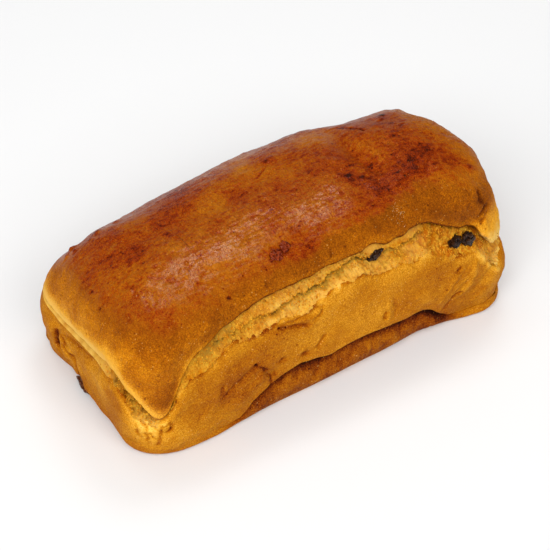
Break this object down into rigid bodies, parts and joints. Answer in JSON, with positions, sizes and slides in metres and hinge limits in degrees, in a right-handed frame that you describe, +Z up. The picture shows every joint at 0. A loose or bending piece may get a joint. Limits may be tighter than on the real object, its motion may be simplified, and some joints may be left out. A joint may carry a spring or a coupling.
{
  "type": "sweet raisin loaf",
  "caption": "Oblong sweet loaf baked in a tin, with a domed glazed top crust torn open along one side, showing crumb and raisins.",
  "frame": {"origin": "middle of the flat base, on the surface that the loaf stands on", "axes": "+X along the loaf, towards the end with the highest lobe; -Y towards the torn side; +Z up"},
  "size_m": [0.23, 0.12, 0.095],
  "materials": {
    "crust": "satin",
    "raisin": "satin"
  },
  "bodies": {
    "root": {"loaf": "crust", "raisin_tear_a": "raisin", "raisin_tear_b": "raisin", "raisin_crease": "raisin", "raisin_crust_a": "raisin", "raisin_crust_b": "raisin", "raisin_base": "raisin"}
  },
  "joints": []
}
